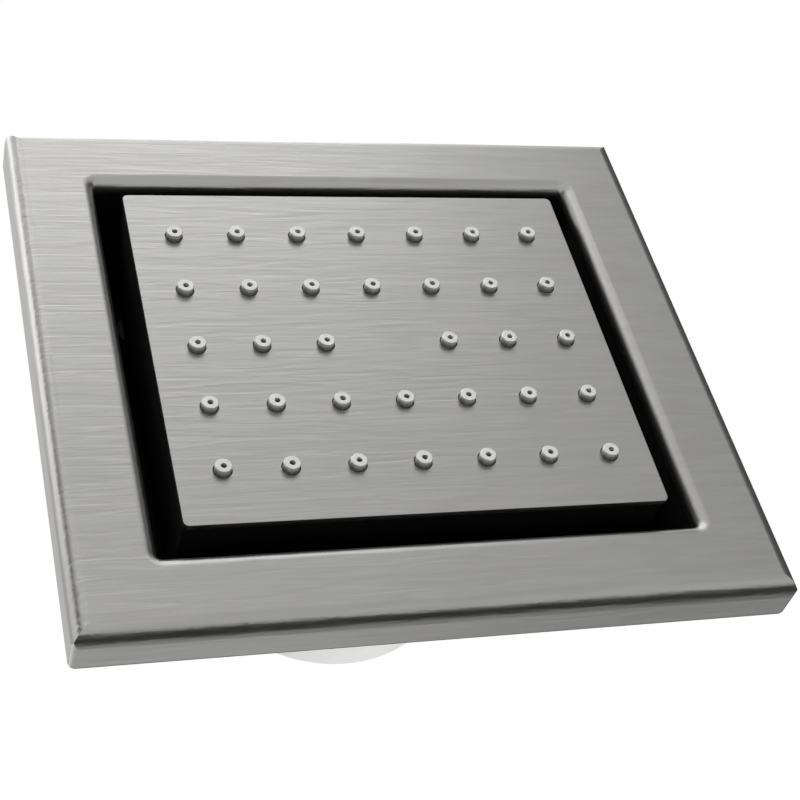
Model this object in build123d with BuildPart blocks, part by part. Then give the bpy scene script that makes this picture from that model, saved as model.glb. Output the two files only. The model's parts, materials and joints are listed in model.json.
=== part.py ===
"""Flush-mounted shower body jet with a swivelling spray head.

The origin is the centre of the wall plane. +X is right and +Z is up, seen from the room, and -Y points
out of the wall. Levels are distances out of the wall plane, so a level in the wall is negative.
"""

import os
from math import asin, atan2, cos, degrees, radians, sqrt, tan

from build123d import *

os.makedirs("parts", exist_ok=True)

# Trim frame
frame_width = 119.3
frame_height = 108.0
frame_border_side = 14.3
frame_border_top = 13.7
frame_depth = 8.4
frame_wall = 2.2
frame_lip = 2.8
shoulder_width = 2.7
shoulder_depth = 3.3
frame_corner_radius = 1.1
opening_edge_radius = 2.2
opening_corner_radius = 0.8

# Spray plate and its jets
swivel_gap_side = 4.35
swivel_gap_top = 4.2
plate_thickness = 1.0
plate_proud = 1.0
plate_corner_radius = 1.0
plate_edge_radius = 0.12
jet_columns = 7
jet_rows = 5
jet_margin_side = 7.7
jet_margin_top = 10.28
jet_tip_height = 1.25
jet_base_radius = 1.45
jet_draft = 1.5
jet_bore_radius = 0.5
jet_feed_radius = 0.9
jet_tip_wall = 1.1
jet_tip_bevel = 0.12
plate_hole_clearance = 0.15

# Head box
head_depth = 19.0
shell_inset = 0.3
shell_wall = 2.0
shell_corner_radius = 0.9
shell_rear_radius = 0.5
mat_thickness = 1.6
deck_thickness = 2.0
deck_slot_width = 2.6
deck_slot_end = 3.0
chamber_depth = 4.0
chamber_corner_radius = 4.0
head_fit = 0.2
cover_thickness = 2.5
cover_rib_height = 1.3
cover_rib_width = 1.6
boss_radius = 9.0
boss_step_height = 0.2
boss_front_radius = 7.5
boss_front_height = 2.0
seal_offset = 0.8
seal_width = 1.6
seal_depth = 1.2
seal_land = 0.45
seal_fit = 0.05
cover_screw_radius = 1.0
cover_screw_head_radius = 1.65
cover_screw_head_height = 1.2
cover_screw_bite = 4.4
screw_head_rounding = 0.5
cover_screws_per_row = 4

# Ball joint
ball_radius = 10.5
ball_setback = 25.0
swivel_clearance = 0.08
liner_thickness = 2.02
liner_half_length = 5.0
ball_neck_radius = 6.5
ball_mouth_rim = 0.87
ball_bore_radius = 3.5
stem_radius = 5.0
stem_length = 6.7
stem_shoulder_radius = 8.5
stem_shoulder_height = 1.5
stem_seal_thickness = 1.0
regulator_radius = 4.65
regulator_thickness = 2.4
regulator_hole_radius = 0.8
regulator_circle_radius = 2.6
regulator_holes = 5
nut_lip_height = 6.0
nut_wall = 3.15
nut_bevel = 1.6
nut_split = 1.0
nut_split_gap = 0.2
nut_slots = 8
nut_slot_width = 3.2
nut_slot_depth = 1.5
neck_wall = 2.32
thread_clearance = 0.05
seal_seat_gap = 1.9
seal_lip_depth = 6.16
ball_seal_inner = 6.0
ball_seal_length = 3.7

# Tray
floor_setback = 30.0
tray_wall = 1.8
tray_floor = 2.2
tray_floor_inset = 3.55
tray_corner_radius = 4.5
tray_rim_setback = 1.1
tray_rear_radius = 1.6
flange_thickness = 2.0
flange_gap = 0.8
flange_corner_radius = 2.0
gasket_thickness = 1.5
gasket_inset = 0.3
gasket_lip = 0.35
gasket_lip_inset = 0.1
tray_screw_inset = 6.9
tray_screw_radius = 2.0
tray_screw_head_radius = 3.6
tray_screw_length = 8.6
frame_screw_radius = 1.2
frame_screw_head_radius = 2.2
frame_screw_head_height = 1.3
frame_screw_bite = 3.0
frame_boss_radius = 3.0
screw_hole_clearance = 0.2
cross_width = 0.7
cross_depth = 0.7

# Rough-in housing and inlet
rear_setback = 62.3
housing_rear_radius = 25.84
housing_half_angle = 13.7
housing_wall = 2.4
housing_flange_margin_side = 8.0
housing_flange_margin_top = 6.65
housing_flange_thickness = 3.0
housing_flange_radius = 5.0
housing_boss_radius = 4.2
housing_boss_length = 4.0
housing_boss_draft = 2.0
housing_rim_bevel = 0.6
web_depth = 10.9
web_thickness = 3.0
rib_count = 8
rib_thickness = 2.0
rib_width = 4.05
rib_length = 14.0
ear_reach = 4.0
ear_width = 13.0
ear_hole_radius = 2.25
inlet_thread_radius = 9.3
inlet_thread_length = 13.5
waterway_radius = 5.5
inlet_flange_width = 5.5
inlet_flange_thickness = 2.6
inlet_hex_size = 32.0
inlet_tail_radius = 13.5
tail_clearance = 0.2
flange_seal_thickness = 1.5
flange_seal_radius = 17.5
lock_washer_thickness = 1.0
lock_washer_radius = 18.5
lock_nut_size = 34.0
lock_nut_height = 5.5
lock_nut_bevel_angle = 60.0
screen_ledge = 0.7
screen_thickness = 1.4
screen_clearance = 0.1
screen_hole_radius = 0.85
screen_rings = 2
screen_ring_holes = 6
screen_ring_pitch = 2.3

# Levels out of the wall plane
face_level = frame_depth + plate_proud
lip_level = frame_depth - frame_lip
plate_back = face_level - plate_thickness
jet_bevel_level = face_level + jet_tip_height - jet_tip_bevel
deck_front = plate_back - mat_thickness
deck_back = deck_front - deck_thickness
cover_front = deck_back - chamber_depth
cover_back = cover_front - cover_thickness
boss_back = cover_back - cover_rib_height - boss_step_height
shoulder_front = boss_back - stem_seal_thickness
shoulder_back = shoulder_front - stem_shoulder_height
head_back = face_level - head_depth
ball_level = face_level - ball_setback
floor_level = face_level - floor_setback
floor_back = floor_level - tray_floor
flange_front = gasket_thickness + flange_thickness
rear_level = face_level - rear_setback
web_front = rear_level + web_depth
web_back = web_front - web_thickness
tail_front = web_front + flange_seal_thickness
thread_bottom = rear_level + inlet_thread_length
inlet_flange_back = floor_back - inlet_flange_thickness
housing_flange_back = floor_back - housing_flange_thickness
seal_seat_depth = liner_half_length + seal_seat_gap
seal_seat_level = ball_level - seal_seat_depth
seal_bottom = seal_seat_level - ball_seal_length

# Sizes that follow from the ones above
opening_width = frame_width - 2 * frame_border_side
opening_height = frame_height - 2 * frame_border_top
plate_width = opening_width - 2 * swivel_gap_side
plate_height = opening_height - 2 * swivel_gap_top
jet_pitch_x = (plate_width - 2 * jet_margin_side) / (jet_columns - 1)
jet_pitch_z = (plate_height - 2 * jet_margin_top) / (jet_rows - 1)
plate_hole_radius = jet_base_radius + plate_hole_clearance
jet_tip_radius = jet_base_radius - (jet_bevel_level - plate_back) * tan(radians(jet_draft))
shell_width = plate_width - 2 * shell_inset
shell_height = plate_height - 2 * shell_inset
bay_width = shell_width - 2 * shell_wall
bay_height = shell_height - 2 * shell_wall
cover_screw_inset = cover_screw_head_radius + head_fit
chamber_margin = cover_screw_inset + cover_screw_radius + seal_land + seal_width + seal_offset
chamber_width = bay_width - 2 * chamber_margin
chamber_height = bay_height - 2 * chamber_margin
liner_inner_radius = ball_radius + swivel_clearance
liner_outer_radius = liner_inner_radius + liner_thickness
socket_radius = liner_outer_radius + swivel_clearance
neck_radius = socket_radius + neck_wall
nut_radius = neck_radius + thread_clearance + nut_wall
inlet_flange_radius = neck_radius + inlet_flange_width
screen_seat_radius = inlet_thread_radius - screen_ledge
tray_mouth_width = opening_width + 2 * tray_rim_setback
tray_mouth_height = opening_height + 2 * tray_rim_setback
tray_draft = degrees(atan2(tray_floor_inset, lip_level - floor_level))
tray_screw_x = tray_mouth_width / 2 - tray_floor_inset - tray_screw_inset
tray_screw_z = tray_mouth_height / 2 - tray_floor_inset - tray_screw_inset
housing_flange_width = 2 * (tray_screw_x + housing_flange_margin_side)
housing_flange_height = 2 * (tray_screw_z + housing_flange_margin_top)
ear_spacing = housing_flange_width + 2 * ear_reach
cavity_width = frame_width - 2 * frame_wall
cavity_height = frame_height - 2 * frame_wall
flange_width = cavity_width - 2 * flange_gap
flange_height = cavity_height - 2 * flange_gap
frame_screw_x = (tray_mouth_width / 2 + tray_wall + flange_width / 2) / 2
frame_screw_z = (tray_mouth_height / 2 + tray_wall + flange_height / 2) / 2
cover_screw_x = bay_width / 2 - cover_screw_inset
cover_screw_z = bay_height / 2 - cover_screw_inset
tail_bore_radius = inlet_tail_radius + tail_clearance

# Radius across and distance out of the wall, for everything turned about the water axis
SECTION = Plane(origin=(0, 0, 0), x_dir=(1, 0, 0), z_dir=(0, 0, -1))

# Height and distance out of the wall, for what runs along X
SIDE_SECTION = Plane(origin=(0, 0, 0), x_dir=(0, 0, 1), z_dir=(1, 0, 0))

jet_points = [
    ((column - (jet_columns - 1) / 2) * jet_pitch_x, (row - (jet_rows - 1) / 2) * jet_pitch_z)
    for row in range(jet_rows)
    for column in range(jet_columns)
    if (row, column) != (jet_rows // 2, jet_columns // 2)
]
cover_screw_points = [
    ((2 * step / (cover_screws_per_row - 1) - 1) * cover_screw_x, side * cover_screw_z)
    for step in range(cover_screws_per_row)
    for side in (-1, 1)
] + [(-cover_screw_x, 0), (cover_screw_x, 0)]
frame_screw_points = [(i * frame_screw_x, j * frame_screw_z) for i in (-1, 1) for j in (-1, 1)]
tray_screw_points = [(i * tray_screw_x, j * tray_screw_z) for i in (-1, 1) for j in (-1, 1)]


def facing_wall(level):
    """A sketch plane at a level, with its normal pointing into the wall."""
    return Plane(origin=(0, -level, 0), x_dir=(1, 0, 0), z_dir=(0, 1, 0))


def sphere_height(radius, across):
    """Height of a sphere's surface over its middle plane at a distance from the axis."""
    return sqrt(radius**2 - across**2)


def housing_radius(level):
    """Outer radius of the tapered housing at a level."""
    return housing_rear_radius + (level - rear_level) * tan(radians(housing_half_angle))


def sphere_arc(radius, low, high):
    """Arc of a sphere about the ball's centre, from one height over the centre to another."""
    start = degrees(asin(low / radius))
    return CenterArc((0, ball_level), radius, start, degrees(asin(high / radius)) - start)


# Sizes that lie on the ball's sphere
ball_mouth_depth = sphere_height(ball_radius, regulator_radius + thread_clearance + ball_mouth_rim)
ball_seal_outer = sphere_height(liner_inner_radius, seal_lip_depth)


def shoulder_profile(width):
    """The frame's cross-section: a flat rim, straight sides and a shoulder from each to the face."""
    shoulder_level = frame_depth - shoulder_depth
    with BuildSketch() as profile:
        with BuildLine():
            right = EllipticalCenterArc(
                (width / 2 - shoulder_width, shoulder_level), shoulder_width, shoulder_depth, arc_size=90
            )
            left = EllipticalCenterArc(
                (shoulder_width - width / 2, shoulder_level), shoulder_width, shoulder_depth, 90, arc_size=90
            )
            Line(right @ 1, left @ 0)
            Polyline(left @ 1, (-width / 2, gasket_lip), (width / 2, gasket_lip), right @ 0)
        make_face()
    return profile.sketch


def chamber_ring(inner, outer):
    """A ring in the current sketch, between two distances outside the chamber's outline."""
    RectangleRounded(
        chamber_width + 2 * outer, chamber_height + 2 * outer, chamber_corner_radius + outer
    )
    RectangleRounded(
        chamber_width + 2 * inner,
        chamber_height + 2 * inner,
        chamber_corner_radius + inner,
        mode=Mode.SUBTRACT,
    )


def pan_screws(points, seat_level, head_radius, head_height, radius, length):
    """Screws with rounded heads behind a seat and shanks pointing out of the wall."""
    with BuildPart() as screws:
        with BuildSketch(facing_wall(seat_level)):
            with Locations(*points):
                Circle(head_radius)
        extrude(amount=head_height)
        fillet(screws.edges().group_by(Axis.Y)[-1], screw_head_rounding)
        with BuildSketch(Plane.XZ.offset(seat_level)):
            with Locations(*points):
                Circle(radius)
        extrude(amount=length)
        with BuildSketch(Plane.XZ.offset(seat_level - head_height)):
            with Locations(*points):
                Rectangle(2 * radius, cross_width)
                Rectangle(cross_width, 2 * radius)
        extrude(amount=cross_depth, mode=Mode.SUBTRACT)
    return screws


def save(builder, name):
    """Label a finished piece and write it out."""
    builder.part.label = name
    export_step(builder.part, f"parts/{name}.step")


# Trim frame: a hollow casting with shoulders round its face, mitred at the corners
across_profile = shoulder_profile(frame_width)
upright_profile = shoulder_profile(frame_height)
with BuildPart() as escutcheon_frame:
    with BuildSketch(Plane.XZ.offset(gasket_lip)):
        RectangleRounded(frame_width, frame_height, frame_corner_radius)
    extrude(amount=frame_depth - gasket_lip)
    with BuildSketch(SECTION):
        add(across_profile)
    extrude(amount=frame_height, both=True, mode=Mode.INTERSECT)
    with BuildSketch(SIDE_SECTION):
        add(upright_profile)
    extrude(amount=frame_width, both=True, mode=Mode.INTERSECT)
    with BuildSketch(Plane.XZ):
        Rectangle(cavity_width, cavity_height)
    extrude(amount=lip_level, mode=Mode.SUBTRACT)
    with BuildSketch(Plane.XZ):
        RectangleRounded(opening_width, opening_height, opening_corner_radius)
    extrude(amount=frame_depth, mode=Mode.SUBTRACT)
    frame_face = escutcheon_frame.faces().sort_by(Axis.Y)[0]
    fillet(frame_face.inner_wires()[0].edges(), opening_edge_radius)
    with BuildSketch(Plane.XZ.offset(flange_front)):
        with Locations(*frame_screw_points):
            Circle(frame_boss_radius)
    extrude(amount=lip_level - flange_front)
    with BuildSketch(Plane.XZ.offset(flange_front)):
        with Locations(*frame_screw_points):
            Circle(frame_screw_radius)
    extrude(amount=frame_screw_bite + screw_hole_clearance, mode=Mode.SUBTRACT)
save(escutcheon_frame, "escutcheon_frame")

# Frame screws: pan heads on the back of the tray's flange
frame_screws = pan_screws(
    frame_screw_points,
    gasket_thickness,
    frame_screw_head_radius,
    frame_screw_head_height,
    frame_screw_radius,
    flange_thickness + frame_screw_bite,
)
save(frame_screws, "frame_screws")

# Wall gasket: foam ring between the flange and the wall, with a thin lip under the frame's rim
with BuildPart() as wall_gasket:
    with BuildSketch(Plane.XZ):
        RectangleRounded(
            frame_width - 2 * gasket_lip_inset,
            frame_height - 2 * gasket_lip_inset,
            frame_corner_radius,
        )
    extrude(amount=gasket_lip)
    with BuildSketch(Plane.XZ):
        RectangleRounded(
            flange_width - 2 * gasket_inset,
            flange_height - 2 * gasket_inset,
            flange_corner_radius,
        )
    extrude(amount=gasket_thickness)
    with BuildSketch(Plane.XZ):
        RectangleRounded(
            tray_mouth_width + 2 * tray_wall,
            tray_mouth_height + 2 * tray_wall,
            tray_corner_radius + tray_wall,
        )
        with Locations(*frame_screw_points):
            Circle(frame_screw_head_radius + screw_hole_clearance)
    extrude(amount=gasket_thickness, mode=Mode.SUBTRACT)
save(wall_gasket, "wall_gasket")

# Recess tray: drafted walls, a flange behind the frame and a flat floor round the ball joint
with BuildPart() as recess_tray:
    with BuildSketch(facing_wall(lip_level)):
        RectangleRounded(
            tray_mouth_width + 2 * tray_wall,
            tray_mouth_height + 2 * tray_wall,
            tray_corner_radius + tray_wall,
        )
    extrude(amount=lip_level - floor_back, taper=tray_draft)
    fillet(recess_tray.faces().sort_by(Axis.Y)[-1].edges(), tray_rear_radius)
    with BuildSketch(Plane.XZ.offset(gasket_thickness)):
        RectangleRounded(flange_width, flange_height, flange_corner_radius)
    extrude(amount=flange_thickness)
    with BuildSketch(facing_wall(lip_level)):
        RectangleRounded(tray_mouth_width, tray_mouth_height, tray_corner_radius)
    extrude(amount=lip_level - floor_level, taper=tray_draft, mode=Mode.SUBTRACT)
    with BuildSketch(Plane.XZ.offset(floor_back)):
        Circle(neck_radius + thread_clearance)
    extrude(amount=tray_floor, mode=Mode.SUBTRACT)
    with BuildSketch(Plane.XZ.offset(gasket_thickness)):
        with Locations(*frame_screw_points):
            Circle(frame_screw_radius + screw_hole_clearance)
    extrude(amount=flange_thickness, mode=Mode.SUBTRACT)
    with Locations(Plane.XZ.offset(floor_level)):
        with Locations(*tray_screw_points):
            CounterSinkHole(tray_screw_radius + screw_hole_clearance, tray_screw_head_radius, tray_floor)
save(recess_tray, "recess_tray")

# Tray screws: countersunk heads flush with the floor
with BuildPart() as tray_screws:
    with BuildSketch(facing_wall(floor_level)):
        with Locations(*tray_screw_points):
            Circle(tray_screw_head_radius - screw_hole_clearance)
    extrude(amount=tray_screw_head_radius - screw_hole_clearance - tray_screw_radius, taper=45)
    with BuildSketch(facing_wall(floor_level)):
        with Locations(*tray_screw_points):
            Circle(tray_screw_radius)
    extrude(amount=tray_screw_length)
    with BuildSketch(facing_wall(floor_level)):
        with Locations(*tray_screw_points):
            Rectangle(2 * tray_screw_radius, cross_width)
            Rectangle(cross_width, 2 * tray_screw_radius)
    extrude(amount=cross_depth, mode=Mode.SUBTRACT)
save(tray_screws, "tray_screws")

# Rough-in housing: a tapered round cup with a web, a ribbed flange, screw posts and two ears
with BuildPart() as rough_in_housing:
    with BuildSketch(SECTION):
        with BuildLine():
            Polyline(
                (housing_radius(floor_back), floor_back),
                (housing_radius(rear_level), rear_level),
                (housing_radius(rear_level) - housing_wall, rear_level),
                (housing_radius(web_back) - housing_wall, web_back),
                (tail_bore_radius, web_back),
                (tail_bore_radius, web_front),
                (housing_radius(web_front) - housing_wall, web_front),
                (housing_radius(floor_back) - housing_wall, floor_back),
                close=True,
            )
        make_face()
    revolve(axis=Axis.Y)
    rim_edges = rough_in_housing.faces().sort_by(Axis.Y)[-1].edges()
    chamfer(rim_edges, housing_rim_bevel)
    with BuildSketch(Plane.XZ.offset(housing_flange_back)):
        RectangleRounded(housing_flange_width, housing_flange_height, housing_flange_radius)
        with GridLocations(ear_spacing, 0, 2, 1):
            RectangleRounded(ear_width, ear_width, housing_flange_radius)
        Circle(housing_radius(housing_flange_back) - housing_wall, mode=Mode.SUBTRACT)
        with GridLocations(ear_spacing, 0, 2, 1):
            Circle(ear_hole_radius, mode=Mode.SUBTRACT)
    extrude(amount=housing_flange_thickness)
    with BuildSketch(facing_wall(housing_flange_back)):
        with Locations(*tray_screw_points):
            Circle(housing_boss_radius)
    extrude(amount=housing_boss_length, taper=housing_boss_draft)
    with BuildSketch(facing_wall(floor_back)):
        with Locations(*tray_screw_points):
            Circle(tray_screw_radius)
    extrude(amount=tray_screw_length - tray_floor + screw_hole_clearance, mode=Mode.SUBTRACT)
    for rib in range(rib_count):
        with BuildSketch(SECTION.rotated((0, 360 * rib / rib_count, 0))):
            with BuildLine():
                Polyline(
                    (housing_radius(housing_flange_back) - housing_wall / 2, housing_flange_back),
                    (housing_radius(housing_flange_back) + rib_width, housing_flange_back),
                    (
                        housing_radius(housing_flange_back - rib_length),
                        housing_flange_back - rib_length,
                    ),
                    (
                        housing_radius(housing_flange_back - rib_length) - housing_wall / 2,
                        housing_flange_back - rib_length,
                    ),
                    close=True,
                )
            make_face()
        extrude(amount=rib_thickness / 2, both=True)
save(rough_in_housing, "rough_in_housing")

# Inlet body: turned brass, ball cup in front, hexagon in the middle, threaded tail behind
with BuildPart() as inlet_body:
    with BuildSketch(SECTION):
        with BuildLine():
            cup = sphere_arc(socket_radius, -seal_seat_depth, 0)
            Polyline(
                cup @ 1,
                (socket_radius, ball_level + nut_split),
                (neck_radius, ball_level + nut_split),
                (neck_radius, floor_back),
                (inlet_flange_radius, floor_back),
                (inlet_flange_radius, inlet_flange_back),
                (inlet_tail_radius, inlet_flange_back),
                (inlet_tail_radius, rear_level),
                (inlet_thread_radius, rear_level),
                (inlet_thread_radius, thread_bottom),
                (screen_seat_radius, thread_bottom),
                (screen_seat_radius, thread_bottom + screen_thickness),
                (waterway_radius, thread_bottom + screen_thickness),
                (waterway_radius, seal_bottom),
                (ball_seal_outer, seal_bottom),
                (ball_seal_outer, seal_seat_level),
                cup @ 0,
            )
        make_face()
    revolve(axis=Axis.Y)
    with BuildSketch(Plane.XZ.offset(tail_front)):
        RegularPolygon(inlet_hex_size / 2, 6, major_radius=False)
        Circle(inlet_tail_radius, mode=Mode.SUBTRACT)
    extrude(amount=inlet_flange_back - tail_front)
save(inlet_body, "inlet_body")

# Flange seal, lock washer and lock nut on the inlet's tail
with BuildPart() as flange_seal:
    with BuildSketch(Plane.XZ.offset(web_front)):
        Circle(flange_seal_radius)
        Circle(tail_bore_radius, mode=Mode.SUBTRACT)
    extrude(amount=flange_seal_thickness)
save(flange_seal, "flange_seal")

with BuildPart() as lock_washer:
    with BuildSketch(Plane.XZ.offset(web_back - lock_washer_thickness)):
        Circle(lock_washer_radius)
        Circle(tail_bore_radius, mode=Mode.SUBTRACT)
    extrude(amount=lock_washer_thickness)
save(lock_washer, "lock_washer")

with BuildPart() as lock_nut:
    with BuildSketch(facing_wall(web_back - lock_washer_thickness)):
        RegularPolygon(lock_nut_size / 2, 6, major_radius=False)
    extrude(amount=lock_nut_height)
    with BuildSketch(facing_wall(web_back - lock_washer_thickness)):
        Circle(lock_nut_size / 2 + lock_nut_height * tan(radians(lock_nut_bevel_angle)))
    extrude(amount=lock_nut_height, taper=lock_nut_bevel_angle, mode=Mode.INTERSECT)
    with BuildSketch(facing_wall(web_back - lock_washer_thickness)):
        Circle(inlet_tail_radius + thread_clearance)
    extrude(amount=lock_nut_height, mode=Mode.SUBTRACT)
save(lock_nut, "lock_nut")

# Retaining nut: spherical lip in front, threaded skirt behind, spanner slots round the rim
with BuildPart() as retaining_nut:
    with BuildSketch(SECTION):
        with BuildLine():
            lip = sphere_arc(socket_radius, nut_split + nut_split_gap, nut_lip_height)
            Polyline(
                lip @ 1,
                (nut_radius - nut_bevel, ball_level + nut_lip_height),
                (nut_radius, ball_level + nut_lip_height - nut_bevel),
                (nut_radius, floor_level),
                (neck_radius + thread_clearance, floor_level),
                (neck_radius + thread_clearance, ball_level + nut_split + nut_split_gap),
                lip @ 0,
            )
        make_face()
    revolve(axis=Axis.Y)
    with BuildSketch(Plane.XZ.offset(floor_level)):
        with PolarLocations(nut_radius, nut_slots):
            Rectangle(2 * nut_slot_depth, nut_slot_width)
    extrude(amount=ball_level + nut_lip_height - floor_level, mode=Mode.SUBTRACT)
save(retaining_nut, "retaining_nut")

# Ball seal: rubber ring whose dished face follows the ball
with BuildPart() as ball_seal:
    with BuildSketch(SECTION):
        with BuildLine():
            dish = sphere_arc(
                liner_inner_radius,
                -sphere_height(liner_inner_radius, ball_seal_inner),
                -sphere_height(liner_inner_radius, ball_seal_outer),
            )
            Polyline(
                dish @ 1,
                (ball_seal_outer, seal_bottom),
                (ball_seal_inner, seal_bottom),
                dish @ 0,
            )
        make_face()
    revolve(axis=Axis.Y)
save(ball_seal, "ball_seal")

# Inlet screen: perforated washer in its seat at the bottom of the inlet thread
with BuildPart() as inlet_screen:
    with BuildSketch(Plane.XZ.offset(thread_bottom)):
        Circle(screen_seat_radius - screen_clearance)
        Circle(screen_hole_radius, mode=Mode.SUBTRACT)
        for ring in range(1, screen_rings + 1):
            with PolarLocations(ring * screen_ring_pitch, ring * screen_ring_holes):
                Circle(screen_hole_radius, mode=Mode.SUBTRACT)
    extrude(amount=screen_thickness)
save(inlet_screen, "inlet_screen")

# Ball liner: friction ring that floats between the ball and its cup
with BuildPart() as ball_liner:
    with BuildSketch(SECTION):
        with BuildLine():
            inside = sphere_arc(liner_inner_radius, -liner_half_length, liner_half_length)
            outside = sphere_arc(liner_outer_radius, -liner_half_length, liner_half_length)
            Line(inside @ 0, outside @ 0)
            Line(inside @ 1, outside @ 1)
        make_face()
    revolve(axis=Axis.Y)
save(ball_liner, "ball_liner")

# Spray plate: sheet metal with a hole for each jet
with BuildPart() as spray_plate:
    with BuildSketch(Plane.XZ.offset(plate_back)):
        RectangleRounded(plate_width, plate_height, plate_corner_radius)
        with Locations(*jet_points):
            Circle(plate_hole_radius, mode=Mode.SUBTRACT)
    extrude(amount=plate_thickness)
    plate_face = spray_plate.faces().sort_by(Axis.Y)[0]
    fillet(plate_face.outer_wire().edges(), plate_edge_radius)
save(spray_plate, "spray_plate")

# Nozzle mat: soft sheet behind the plate, with a tapered tip through each hole
with BuildPart() as nozzle_mat:
    with BuildSketch(Plane.XZ.offset(deck_front)):
        RectangleRounded(bay_width - 2 * head_fit, bay_height - 2 * head_fit, shell_corner_radius)
    extrude(amount=mat_thickness)
    with BuildSketch(Plane.XZ.offset(plate_back)):
        with Locations(*jet_points):
            Circle(jet_base_radius)
    extrude(amount=jet_bevel_level - plate_back, taper=jet_draft)
    with BuildSketch(Plane.XZ.offset(jet_bevel_level)):
        with Locations(*jet_points):
            Circle(jet_tip_radius)
    extrude(amount=jet_tip_bevel, taper=45)
    with BuildSketch(Plane.XZ.offset(deck_front)):
        with Locations(*jet_points):
            Circle(jet_feed_radius)
    extrude(amount=mat_thickness + plate_thickness + jet_tip_height - jet_tip_wall, mode=Mode.SUBTRACT)
    with BuildSketch(Plane.XZ.offset(plate_back)):
        with Locations(*jet_points):
            Circle(jet_bore_radius)
    extrude(amount=plate_thickness + jet_tip_height, mode=Mode.SUBTRACT)
save(nozzle_mat, "nozzle_mat")

# Head shell: box with a bay for the mat, a slotted deck, the water chamber and an open back
with BuildPart() as head_shell:
    with BuildSketch(Plane.XZ.offset(head_back)):
        RectangleRounded(shell_width, shell_height, shell_corner_radius)
    extrude(amount=plate_back - head_back)
    fillet(head_shell.faces().sort_by(Axis.Y)[-1].edges(), shell_rear_radius)
    with BuildSketch(Plane.XZ.offset(deck_front)):
        RectangleRounded(bay_width, bay_height, shell_corner_radius)
    extrude(amount=mat_thickness, mode=Mode.SUBTRACT)
    with BuildSketch(Plane.XZ.offset(deck_back)):
        with GridLocations(jet_pitch_x, 0, jet_columns, 1):
            SlotOverall(
                (jet_rows - 1) * jet_pitch_z + deck_slot_end, deck_slot_width, rotation=90
            )
    extrude(amount=deck_thickness, mode=Mode.SUBTRACT)
    with BuildSketch(Plane.XZ.offset(cover_front)):
        RectangleRounded(chamber_width, chamber_height, chamber_corner_radius)
    extrude(amount=chamber_depth, mode=Mode.SUBTRACT)
    with BuildSketch(Plane.XZ.offset(head_back)):
        RectangleRounded(bay_width, bay_height, shell_corner_radius)
    extrude(amount=cover_front - head_back, mode=Mode.SUBTRACT)
    with BuildSketch(Plane.XZ.offset(cover_front)):
        chamber_ring(seal_offset, seal_offset + seal_width)
    extrude(amount=seal_depth, mode=Mode.SUBTRACT)
    with BuildSketch(Plane.XZ.offset(cover_front)):
        with Locations(*cover_screw_points):
            Circle(cover_screw_radius)
    extrude(amount=cover_screw_bite + screw_hole_clearance, mode=Mode.SUBTRACT)
save(head_shell, "head_shell")

# Cover seal: rubber cord in the groove round the chamber
with BuildPart() as cover_seal:
    with BuildSketch(Plane.XZ.offset(cover_front)):
        chamber_ring(seal_offset + seal_fit, seal_offset + seal_width - seal_fit)
    extrude(amount=seal_depth)
save(cover_seal, "cover_seal")

# Chamber cover: ribbed plate with the threaded boss for the ball's stem
with BuildPart() as chamber_cover:
    with BuildSketch(Plane.XZ.offset(cover_back)):
        RectangleRounded(bay_width - 2 * head_fit, bay_height - 2 * head_fit, shell_corner_radius)
    extrude(amount=cover_thickness)
    with BuildSketch(facing_wall(cover_back)):
        Rectangle(chamber_width, cover_rib_width)
        Rectangle(cover_rib_width, chamber_height)
        Rectangle(chamber_width, cover_rib_width, rotation=45)
        Rectangle(chamber_width, cover_rib_width, rotation=-45)
    extrude(amount=cover_rib_height)
    with BuildSketch(facing_wall(cover_back)):
        Circle(boss_radius)
    extrude(amount=cover_back - boss_back)
    with BuildSketch(Plane.XZ.offset(cover_front)):
        Circle(boss_front_radius)
    extrude(amount=boss_front_height)
    with BuildSketch(Plane.XZ.offset(boss_back)):
        Circle(stem_radius + thread_clearance)
    extrude(amount=cover_front + boss_front_height - boss_back, mode=Mode.SUBTRACT)
    with BuildSketch(Plane.XZ.offset(cover_back)):
        with Locations(*cover_screw_points):
            Circle(cover_screw_radius + screw_hole_clearance)
    extrude(amount=cover_thickness, mode=Mode.SUBTRACT)
save(chamber_cover, "chamber_cover")

# Cover screws: pan heads on the back of the cover
cover_screws = pan_screws(
    cover_screw_points,
    cover_back,
    cover_screw_head_radius,
    cover_screw_head_height,
    cover_screw_radius,
    cover_thickness + cover_screw_bite,
)
save(cover_screws, "cover_screws")

# Swivel ball: hollow ball, neck, hexagon shoulder and stem
with BuildPart() as swivel_ball:
    with BuildSketch(SECTION):
        with BuildLine():
            surface = sphere_arc(ball_radius, -ball_mouth_depth, sphere_height(ball_radius, ball_neck_radius))
            Polyline(
                surface @ 1,
                (ball_neck_radius, shoulder_front),
                (stem_radius, shoulder_front),
                (stem_radius, shoulder_front + stem_length),
                (ball_bore_radius, shoulder_front + stem_length),
                (ball_bore_radius, ball_level - ball_mouth_depth + regulator_thickness),
                (regulator_radius + thread_clearance, ball_level - ball_mouth_depth + regulator_thickness),
                (regulator_radius + thread_clearance, ball_level - ball_mouth_depth),
                surface @ 0,
            )
        make_face()
    revolve(axis=Axis.Y)
    with BuildSketch(Plane.XZ.offset(shoulder_back)):
        RegularPolygon(stem_shoulder_radius, 6)
        Circle(stem_radius, mode=Mode.SUBTRACT)
    extrude(amount=stem_shoulder_height)
save(swivel_ball, "swivel_ball")

# Stem seal: washer between the shoulder and the cover's boss
with BuildPart() as stem_seal:
    with BuildSketch(Plane.XZ.offset(shoulder_front)):
        Circle(stem_shoulder_radius * cos(radians(30)))
        Circle(stem_radius + thread_clearance, mode=Mode.SUBTRACT)
    extrude(amount=stem_seal_thickness)
save(stem_seal, "stem_seal")

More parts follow.
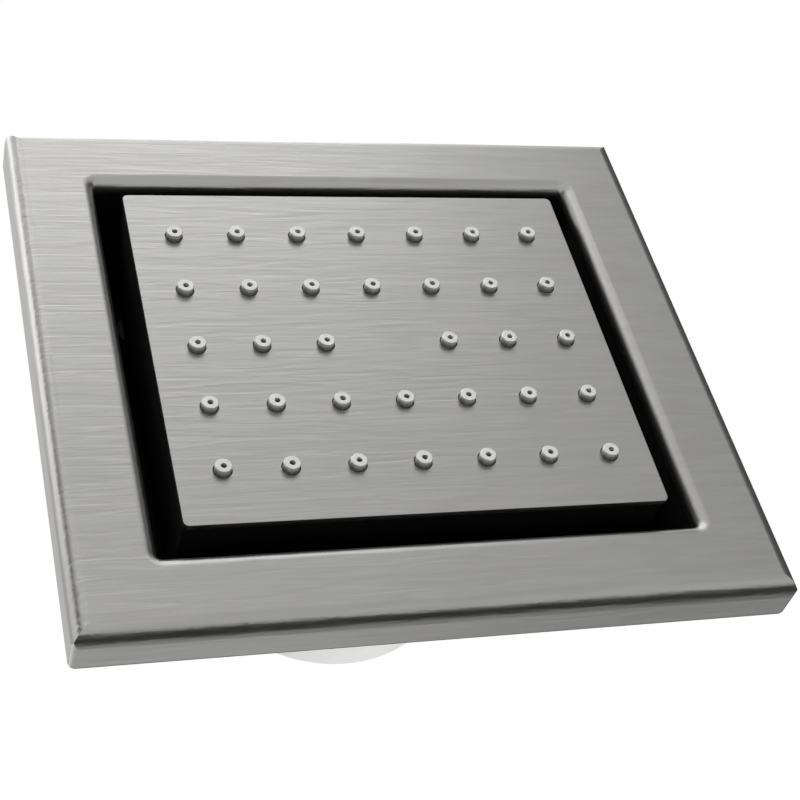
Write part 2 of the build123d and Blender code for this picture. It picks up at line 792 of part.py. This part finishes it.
# Flow regulator: perforated disc in the ball's mouth
with BuildPart() as flow_regulator:
    with BuildSketch(Plane.XZ.offset(ball_level - ball_mouth_depth)):
        Circle(regulator_radius)
        with PolarLocations(regulator_circle_radius, regulator_holes):
            Circle(regulator_hole_radius, mode=Mode.SUBTRACT)
    extrude(amount=regulator_thickness)
save(flow_regulator, "flow_regulator")
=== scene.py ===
"""Looks of the shower body jet: finishes, studio light and the camera at the photograph's angle."""

import json
from math import cos, pi, sin

import bpy
from mathutils import Matrix, Vector


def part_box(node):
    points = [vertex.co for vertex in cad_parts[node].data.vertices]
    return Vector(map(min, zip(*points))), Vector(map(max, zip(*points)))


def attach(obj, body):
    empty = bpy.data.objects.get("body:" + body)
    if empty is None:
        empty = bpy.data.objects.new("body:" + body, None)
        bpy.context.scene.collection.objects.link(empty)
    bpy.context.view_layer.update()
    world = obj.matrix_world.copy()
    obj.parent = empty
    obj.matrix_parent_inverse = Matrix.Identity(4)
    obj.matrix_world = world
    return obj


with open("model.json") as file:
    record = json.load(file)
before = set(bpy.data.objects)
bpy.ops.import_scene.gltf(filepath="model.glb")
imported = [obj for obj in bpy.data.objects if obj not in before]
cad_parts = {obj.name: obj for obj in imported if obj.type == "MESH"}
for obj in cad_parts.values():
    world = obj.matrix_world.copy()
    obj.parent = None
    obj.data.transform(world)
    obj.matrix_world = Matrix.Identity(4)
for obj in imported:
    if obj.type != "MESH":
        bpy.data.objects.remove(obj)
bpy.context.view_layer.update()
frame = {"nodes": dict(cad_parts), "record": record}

# All lengths are in metres, apart from the camera's lens and sensor

# Camera, found from the photograph's straight edges and the jets' grid
CAMERA_PLACE = Vector((-0.0933, -0.2213, -0.1866))
CAMERA_LOOK = Vector((0.3196, 0.7325, 0.6011))
CAMERA_UP = Vector((0.0293, -0.6418, 0.7664))
CAMERA_CLIP = 0.01
CAMERA_LENS_MM = 77.91
CAMERA_SENSOR_MM = 36.0

# Noise, and the middle of its range, which the finishes use
NOISE_ROUGHNESS = 0.55
NOISE_LOW = 0.3
NOISE_HIGH = 0.7

# Brushed metal: its streaks, and how far sideways a face looks where they turn upright
NICKEL_COLOUR = (0.60, 0.595, 0.58)
FINE_STREAK_LENGTH = 0.007
FINE_STREAK_WIDTH = 0.00035
BROAD_STREAK_LENGTH = 0.016
BROAD_STREAK_WIDTH = 0.0013
BROAD_SHARE = 0.8
STREAK_WAVE = 0.9
STREAK_DEPTH = 0.00006
SIDEWAYS_LIMIT = 0.75

# Moulded plastic: size of its cloudy patches, and how far they change its roughness
PLASTIC_PATCH = 0.012
PLASTIC_UNEVENNESS = 0.05

# Turned metal: length and width of its rings' marks, and size of its cloudy patches
RING_LENGTH = 0.004
RING_WIDTH = 0.00018
METAL_PATCH = 0.006

# Silicone of the jets, and the heights above the plate over which its painted shade goes from dark to none
SILICONE_COLOUR = (0.80, 0.80, 0.79)
SILICONE_PATCH = 0.004
SILICONE_GRAIN = 0.0005
SILICONE_DEPTH = 0.000004
JET_DARK_LOW = 0.0004
JET_DARK_HIGH = 0.0013
JET_FOOT_SHADE = 0.28

# Foam of the gasket
FOAM_COLOUR = (0.09, 0.09, 0.095)
FOAM_CELL = 0.0006
FOAM_DEPTH = 0.00008

# Female half-inch pipe thread of the inlet, with its flanks' ends as shares of the pitch
THREAD_PITCH = 0.001814
THREAD_HEIGHT = 0.0007
THREAD_SINK = 0.00005
THREAD_FOOT_SHARE = 0.42
THREAD_CREST_SHARE = 0.08
THREAD_STEPS = 72

# Floor and world
FLOOR_LEVEL = -0.32
FLOOR_SIZE = 6.0
FLOOR_COLOUR = (0.35, 0.35, 0.35)
FLOOR_PATCH = 0.3
FLOOR_GLOW = 0.6
WORLD_COLOUR = (1.0, 0.99, 0.97, 1.0)
WORLD_LEVEL = 0.05
WHITE = (1.0, 1.0, 1.0, 1.0)

# Ways that a screen or a lamp faces, of which the last is worked out from its place
INTO_WALL = (0, 1, 0)
RIGHTWARD = (1, 0, 0)
RIGHT_AND_OUT = (1, -1, 0)
LEFTWARD = (-1, 0, 0)
UPWARD = (0, 0, 1)
DOWNWARD = (0, 0, -1)
TO_PART = None


def new_material(name, colour, roughness, metallic=0.0):
    """A material, its node tree and its shader."""
    material = bpy.data.materials.new(name)
    material.use_nodes = True
    tree = material.node_tree
    shader = tree.nodes["Principled BSDF"]
    shader.inputs["Base Color"].default_value = (*colour, 1)
    shader.inputs["Roughness"].default_value = roughness
    shader.inputs["Metallic"].default_value = metallic
    return material, tree, shader


def add_node(tree, kind, inputs=(), **settings):
    """A node with its settings and the values of its named inputs."""
    node = tree.nodes.new(kind)
    for key, value in settings.items():
        setattr(node, key, value)
    for key, value in dict(inputs).items():
        node.inputs[key].default_value = value
    return node


def feed(tree, socket, value):
    """Give a socket another node's output or a plain number."""
    if isinstance(value, bpy.types.NodeSocket):
        tree.links.new(value, socket)
    else:
        socket.default_value = value


def calculate(tree, operation, *values):
    """The result of a calculation with outputs and plain numbers."""
    node = add_node(tree, "ShaderNodeMath", operation=operation)
    for socket, value in zip(node.inputs, values):
        feed(tree, socket, value)
    return node.outputs["Value"]


def blend(tree, share, first, second):
    """A mix of two values, with the given share of the second."""
    node = add_node(tree, "ShaderNodeMix", data_type="FLOAT")
    for key, value in (("Factor", share), ("A", first), ("B", second)):
        feed(tree, node.inputs[key], value)
    return node.outputs["Result"]


def own_place(tree):
    """Where a point lies on its own object."""
    return add_node(tree, "ShaderNodeTexCoord").outputs["Object"]


def coordinate(tree, vector, axis):
    """One coordinate of a vector."""
    apart = add_node(tree, "ShaderNodeSeparateXYZ")
    tree.links.new(vector, apart.inputs["Vector"])
    return apart.outputs[axis]


def stretched_noise(tree, cell, detail=2.0, distortion=0.0):
    """Noise whose cells have the given size along X, Y and Z."""
    mapping = add_node(tree, "ShaderNodeMapping", {"Scale": [1 / size for size in cell]})
    noise = add_node(
        tree,
        "ShaderNodeTexNoise",
        {"Scale": 1.0, "Detail": detail, "Roughness": NOISE_ROUGHNESS, "Distortion": distortion},
    )
    tree.links.new(own_place(tree), mapping.inputs["Vector"])
    tree.links.new(mapping.outputs["Vector"], noise.inputs["Vector"])
    return noise.outputs["Fac"]


def even_noise(tree, size, detail=2.0):
    """Noise whose cells are as long as they are wide."""
    return stretched_noise(tree, (size, size, size), detail)


def spread(tree, value, low, high, low_in=NOISE_LOW, high_in=NOISE_HIGH):
    """Map a value from one range to another, from the middle of a noise's range unless told otherwise."""
    node = add_node(
        tree,
        "ShaderNodeMapRange",
        {"From Min": low_in, "From Max": high_in, "To Min": low, "To Max": high},
    )
    tree.links.new(value, node.inputs["Value"])
    return node.outputs["Result"]


def shade(tree, shader, colour, factor):
    """Darken and lighten the base colour by a factor that changes over the surface."""
    scaled = add_node(tree, "ShaderNodeVectorMath", operation="SCALE")
    scaled.inputs[0].default_value = colour
    tree.links.new(factor, scaled.inputs["Scale"])
    tree.links.new(scaled.outputs["Vector"], shader.inputs["Base Color"])


def vary_roughness(tree, shader, value, low, high):
    """Let a noise change the roughness between two values."""
    tree.links.new(spread(tree, value, low, high), shader.inputs["Roughness"])


def bump(tree, shader, height, distance):
    """Raise the surface by a height map, up to a distance."""
    node = add_node(tree, "ShaderNodeBump", {"Strength": 1.0, "Distance": distance})
    tree.links.new(height, node.inputs["Height"])
    tree.links.new(node.outputs["Normal"], shader.inputs["Normal"])


def brushed_nickel():
    """Satin metal brushed along X, and along Z on the faces that look sideways."""
    material, tree, shader = new_material("brushed_nickel", NICKEL_COLOUR, roughness=0.32, metallic=1.0)
    normal = add_node(tree, "ShaderNodeNewGeometry").outputs["Normal"]
    sideways = calculate(tree, "ABSOLUTE", coordinate(tree, normal, "X"))
    upright = calculate(tree, "GREATER_THAN", sideways, SIDEWAYS_LIMIT)

    def streaks(length, width, detail):
        along_x = stretched_noise(tree, (length, width, width), detail, STREAK_WAVE)
        along_z = stretched_noise(tree, (width, width, length), detail, STREAK_WAVE)
        return blend(tree, upright, along_x, along_z)

    fine = streaks(FINE_STREAK_LENGTH, FINE_STREAK_WIDTH, detail=1.5)
    broad = streaks(BROAD_STREAK_LENGTH, BROAD_STREAK_WIDTH, detail=1.0)
    both = blend(tree, BROAD_SHARE, fine, broad)
    shade(tree, shader, NICKEL_COLOUR, spread(tree, both, low=0.95, high=1.05))
    vary_roughness(tree, shader, fine, low=0.29, high=0.35)
    bump(tree, shader, both, STREAK_DEPTH)
    return material


def moulded_plastic(name, colour, roughness, grain=0.00035, depth=0.000008, tone=0.06, gloss=0.5):
    """Satin moulded plastic with a faint grain, a slightly uneven tone and an uneven gloss."""
    material, tree, shader = new_material(name, colour, roughness)
    shader.inputs["Specular IOR Level"].default_value = gloss
    fine = even_noise(tree, grain, detail=3.0)
    cloudy = even_noise(tree, PLASTIC_PATCH)
    shade(tree, shader, colour, spread(tree, cloudy, 1 - tone, 1 + tone))
    vary_roughness(tree, shader, cloudy, roughness - PLASTIC_UNEVENNESS, roughness + PLASTIC_UNEVENNESS)
    bump(tree, shader, fine, depth)
    return material


def turned_metal(name, colour, roughness, depth=0.000006):
    """Turned metal with fine rings about the water axis."""
    material, tree, shader = new_material(name, colour, roughness, metallic=1.0)
    rings = stretched_noise(tree, (RING_LENGTH, RING_WIDTH, RING_LENGTH))
    cloudy = even_noise(tree, METAL_PATCH, detail=3.0)
    shade(tree, shader, colour, spread(tree, cloudy, low=0.9, high=1.08))
    vary_roughness(tree, shader, rings, low=roughness - 0.06, high=roughness + 0.08)
    bump(tree, shader, rings, depth)
    return material


def seal_rubber():
    """Matt black rubber with a fine grain."""
    return moulded_plastic(
        "seal_rubber", (0.03, 0.03, 0.03), roughness=0.6, grain=0.0005, depth=0.00001, tone=0.1
    )


def jet_silicone():
    """Pale silicone with painted shade in each jet's bore and round its foot, where it leaves its hole:
    darker nearer the plate.
    """
    material, tree, shader = new_material("grey_silicone", SILICONE_COLOUR, roughness=0.5)
    plate_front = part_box("spray_plate")[0][1]
    # Painted shade: the colour darkens towards the plate, standing in for the shade round each jet's foot
    # and in its bore
    painted_foot_shade = spread(
        tree,
        coordinate(tree, own_place(tree), "Y"),
        low=JET_FOOT_SHADE,
        high=1.0,
        low_in=plate_front - JET_DARK_LOW,
        high_in=plate_front - JET_DARK_HIGH,
    )
    cloudy = spread(tree, even_noise(tree, SILICONE_PATCH), low=0.95, high=1.05)
    shade(tree, shader, SILICONE_COLOUR, calculate(tree, "MULTIPLY", painted_foot_shade, cloudy))
    fine = even_noise(tree, SILICONE_GRAIN, detail=3.0)
    vary_roughness(tree, shader, fine, low=0.5, high=0.6)
    bump(tree, shader, fine, SILICONE_DEPTH)
    return material


def foam_rubber():
    """Closed-cell foam: small round cells."""
    material, tree, shader = new_material("foam_rubber", FOAM_COLOUR, roughness=0.85)
    cells = add_node(tree, "ShaderNodeTexVoronoi", {"Scale": 1 / FOAM_CELL})
    tree.links.new(own_place(tree), cells.inputs["Vector"])
    shade(tree, shader, FOAM_COLOUR, spread(tree, cells.outputs["Distance"], low=0.7, high=1.2))
    bump(tree, shader, cells.outputs["Distance"], FOAM_DEPTH)
    return material


def part_finishes():
    """The material of each slot."""
    return {
        "brushed_nickel": brushed_nickel(),
        "black_plastic": moulded_plastic("black_plastic", (0.008, 0.008, 0.0085), roughness=0.45, gloss=0.3),
        "white_plastic": moulded_plastic("white_plastic", (0.86, 0.86, 0.85), roughness=0.4, tone=0.02),
        "grey_silicone": jet_silicone(),
        "brass": turned_metal("brass", (0.78, 0.60, 0.28), roughness=0.3),
        "chrome_ball": turned_metal("chrome_ball", (0.80, 0.80, 0.82), roughness=0.12, depth=0.000001),
        "zinc_steel": turned_metal("zinc_steel", (0.60, 0.60, 0.62), roughness=0.32),
        "seal_rubber": seal_rubber(),
        "foam_rubber": foam_rubber(),
        "grey_acetal": moulded_plastic("grey_acetal", (0.20, 0.20, 0.21), roughness=0.4),
        "white_acetal": moulded_plastic("white_acetal", (0.80, 0.79, 0.76), roughness=0.35, tone=0.02),
    }


def dress_solids(finishes):
    """Give each solid the finish of its slot."""
    for subpart in frame["record"]["subparts"]:
        mesh = frame["nodes"][subpart["node"]].data
        mesh.materials.clear()
        mesh.materials.append(finishes[subpart["material_slot"]])


def inlet_thread(brass):
    """Ridge of the inlet's female pipe thread, wound round its bore, which runs out at both ends."""
    bore = next(mount for mount in frame["record"]["mounts"] if mount["name"] == "inlet")
    radius = bore["dims"]["r_mm"] / 1000
    depth = bore["dims"]["length_mm"] / 1000
    # One turn less than the bore has room for, so that the ridge ends inside it
    turns = depth / THREAD_PITCH - 1
    count = round(turns * THREAD_STEPS)
    verts = []
    for step in range(count + 1):
        turn = step / THREAD_STEPS
        angle = 2 * pi * turn
        middle = bore["pos_m"][1] - THREAD_PITCH * (turn + 0.5)
        # The ridge rises over its first half turn and falls over its last
        height = THREAD_HEIGHT * min(1, 2 * turn, 2 * (turns - turn))
        profile = (
            (-THREAD_FOOT_SHARE, -THREAD_SINK),
            (-THREAD_CREST_SHARE, height),
            (THREAD_CREST_SHARE, height),
            (THREAD_FOOT_SHARE, -THREAD_SINK),
        )
        for across, reach in profile:
            verts.append(
                (
                    (radius - reach) * cos(angle),
                    middle + across * THREAD_PITCH,
                    (radius - reach) * sin(angle),
                )
            )
    around = len(profile)
    corners = range(around)
    faces = [tuple(corners), tuple(around * count + corner for corner in reversed(corners))]
    for step in range(count):
        near = around * step
        far = near + around
        for corner in corners:
            after = (corner + 1) % around
            faces.append((near + corner, far + corner, far + after, near + after))
    mesh = bpy.data.meshes.new("inlet_thread")
    mesh.from_pydata(verts, [], faces)
    mesh.materials.append(brass)
    ridge = bpy.data.objects.new("inlet_thread", mesh)
    bpy.context.scene.collection.objects.link(ridge)
    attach(ridge, "housing")


def placed(place, facing, axis):
    """Where an object goes at a place, with one of its axes turned the way it faces."""
    way = -Vector(place) if facing is TO_PART else Vector(facing)
    return Matrix.Translation(place) @ way.to_track_quat(axis, "Y").to_matrix().to_4x4()


def flat_card(name, place, facing, size):
    """A flat rectangle at a place."""
    width, height = size
    corners = [(i * width / 2, j * height / 2, 0) for i, j in ((-1, -1), (1, -1), (1, 1), (-1, 1))]
    mesh = bpy.data.meshes.new(name)
    mesh.from_pydata(corners, [], [(0, 1, 2, 3)])
    card = bpy.data.objects.new(name, mesh)
    bpy.context.scene.collection.objects.link(card)
    card.matrix_world = placed(place, facing, "Z")
    return card


def seen_ray(tree):
    """1 for a ray from the camera, a reflection or a see-through surface, and 0 for light that spreads."""
    path = add_node(tree, "ShaderNodeLightPath")
    seen = path.outputs["Is Camera Ray"]
    for ray in ("Is Glossy Ray", "Is Transmission Ray"):
        seen = calculate(tree, "MAXIMUM", seen, path.outputs[ray])
    return seen


def studio_floor():
    """A floor far below the part, which looks pale but throws little light up."""
    floor = flat_card("floor", (0, 0, FLOOR_LEVEL), UPWARD, (FLOOR_SIZE, FLOOR_SIZE))
    material, tree, shader = new_material("pale_floor", FLOOR_COLOUR, roughness=0.9)
    cloudy = even_noise(tree, FLOOR_PATCH)
    shade(tree, shader, FLOOR_COLOUR, spread(tree, cloudy, low=0.98, high=1.02))
    shader.inputs["Emission Color"].default_value = WHITE
    glow = spread(tree, seen_ray(tree), low=0.0, high=FLOOR_GLOW, low_in=0.0, high_in=1.0)
    tree.links.new(glow, shader.inputs["Emission Strength"])
    floor.data.materials.append(material)


def screen(name, place, facing, size, glow, top_glow=None):
    """A screen that only reflections show, with an even glow or one that changes to its top or far edge."""
    card = flat_card(name, place, facing, size)
    material = bpy.data.materials.new(name)
    material.use_nodes = True
    tree = material.node_tree
    tree.nodes.clear()
    light = add_node(tree, "ShaderNodeEmission", {"Color": WHITE, "Strength": glow})
    out = add_node(tree, "ShaderNodeOutputMaterial")
    tree.links.new(light.outputs["Emission"], out.inputs["Surface"])
    if top_glow is not None:
        top = size[1] / 2
        rise = spread(tree, coordinate(tree, own_place(tree), "Y"), glow, top_glow, -top, top)
        tree.links.new(rise, light.inputs["Strength"])
    card.data.materials.append(material)
    card.visible_camera = False
    card.visible_diffuse = False
    card.visible_shadow = False
    card.visible_transmission = False


def studio_screens():
    """The screens that the metal mirrors, which give it the photograph's light and dark bands."""
    # In front and overhead, for the faces and for the edges that look up
    screen("front_screen", (-0.32, -1.0, 0.90), INTO_WALL, size=(2.82, 2.44), glow=0.49)
    screen("front_left_screen", (-0.37, -0.95, 0.12), INTO_WALL, size=(1.2, 0.88), glow=0.60)
    screen("top_screen", (-0.145, -0.9, 1.15), INTO_WALL, size=(1.41, 0.94), glow=0.51, top_glow=2.15)
    screen("overhead_screen", (0.13, 0.25, 1.5), DOWNWARD, size=(0.74, 1.3), glow=1.8)
    screen("overhead_right_screen", (0.80, 0.25, 1.5), DOWNWARD, size=(0.58, 1.3), glow=0.65)
    # To the right, for the right shoulder
    screen("right_screen", (1.09, 0.45, 0.94), LEFTWARD, size=(2.9, 2.5), glow=0.08)
    # To the left and behind, for the left shoulder and side
    screen("left_screen", (-1.2, 0.30, 1.47), RIGHTWARD, size=(0.66, 1.12), glow=1.85)
    screen("left_dark_screen", (-1.2, -0.465, 0.42), RIGHTWARD, size=(0.51, 1.48), glow=0.0)
    screen("left_low_screen", (-1.25, 0.4, 0.25), RIGHTWARD, size=(1.6, 1.14), glow=0.60)
    screen("left_back_screen", (-0.92, 0.92, 0.55), RIGHT_AND_OUT, size=(0.5, 0.8), glow=0.37)
    screen("back_screen", (-0.53, 1.2, 0.99), TO_PART, size=(1.4, 1.6), glow=0.70)
    # Below, for the lower shoulder and side
    screen("low_front_screen", (0.0, -0.63, -0.31), UPWARD, size=(1.8, 0.97), glow=0.56)
    screen("low_screen", (0.05, -0.005, -0.305), UPWARD, size=(0.8, 0.27), glow=0.02)
    screen("low_left_near_screen", (-0.17, 0.20, -0.30), UPWARD, size=(0.68, 0.14), glow=0.05, top_glow=0.50)
    screen("low_left_screen", (-0.17, 0.625, -0.30), UPWARD, size=(0.68, 0.71), glow=0.55)
    screen("low_right_near_screen", (0.59, 0.20, -0.30), UPWARD, size=(0.84, 0.14), glow=0.04, top_glow=0.34)
    screen("low_right_screen", (0.59, 0.625, -0.30), UPWARD, size=(0.84, 0.71), glow=0.38)


def softbox(name, place, facing, size, power):
    """A square soft light that doesn't show in the picture or in reflections."""
    light = bpy.data.lights.new(name, "AREA")
    light.shape = "SQUARE"
    light.size = size
    light.energy = power
    lamp = bpy.data.objects.new(name, light)
    bpy.context.scene.collection.objects.link(lamp)
    lamp.matrix_world = placed(place, facing, "-Z")
    lamp.visible_camera = False
    lamp.visible_glossy = False


def studio_lamps():
    """The lamps: the main one at the upper left, a weak one at the right and one under the housing."""
    softbox("key_light", (-0.35, -0.55, 0.95), TO_PART, size=0.6, power=19.0)
    softbox("fill_light", (0.9, -0.6, 0.3), TO_PART, size=0.8, power=0.8)
    softbox("rear_light", (0.05, 0.20, -0.29), UPWARD, size=0.3, power=0.8)


def white_world():
    """Even light, with white where the camera or a reflection looks past everything."""
    world = bpy.data.worlds.new("studio")
    bpy.context.scene.world = world
    world.use_nodes = True
    tree = world.node_tree
    link = tree.links.new
    tree.nodes.clear()
    even = add_node(tree, "ShaderNodeBackground", {"Color": WORLD_COLOUR, "Strength": WORLD_LEVEL})
    white = add_node(tree, "ShaderNodeBackground", {"Color": WHITE, "Strength": 1.0})
    mix = add_node(tree, "ShaderNodeMixShader")
    out = add_node(tree, "ShaderNodeOutputWorld")
    link(seen_ray(tree), mix.inputs["Fac"])
    link(even.outputs["Background"], mix.inputs[1])
    link(white.outputs["Background"], mix.inputs[2])
    link(mix.outputs["Shader"], out.inputs["Surface"])


def photo_camera():
    """The camera at the photograph's place."""
    data = bpy.data.cameras.new("camera")
    data.lens = CAMERA_LENS_MM
    data.sensor_width = CAMERA_SENSOR_MM
    data.clip_start = CAMERA_CLIP
    camera = bpy.data.objects.new("camera", data)
    bpy.context.scene.collection.objects.link(camera)
    back = -CAMERA_LOOK.normalized()
    right = CAMERA_UP.cross(back).normalized()
    turn = Matrix((right, back.cross(right), back)).transposed()
    camera.matrix_world = Matrix.Translation(CAMERA_PLACE) @ turn.to_4x4()
    bpy.context.scene.camera = camera


slot_finishes = part_finishes()
dress_solids(slot_finishes)
inlet_thread(slot_finishes["brass"])
studio_floor()
studio_screens()
studio_lamps()
white_world()
photo_camera()
bpy.context.scene.view_settings.view_transform = "Standard"
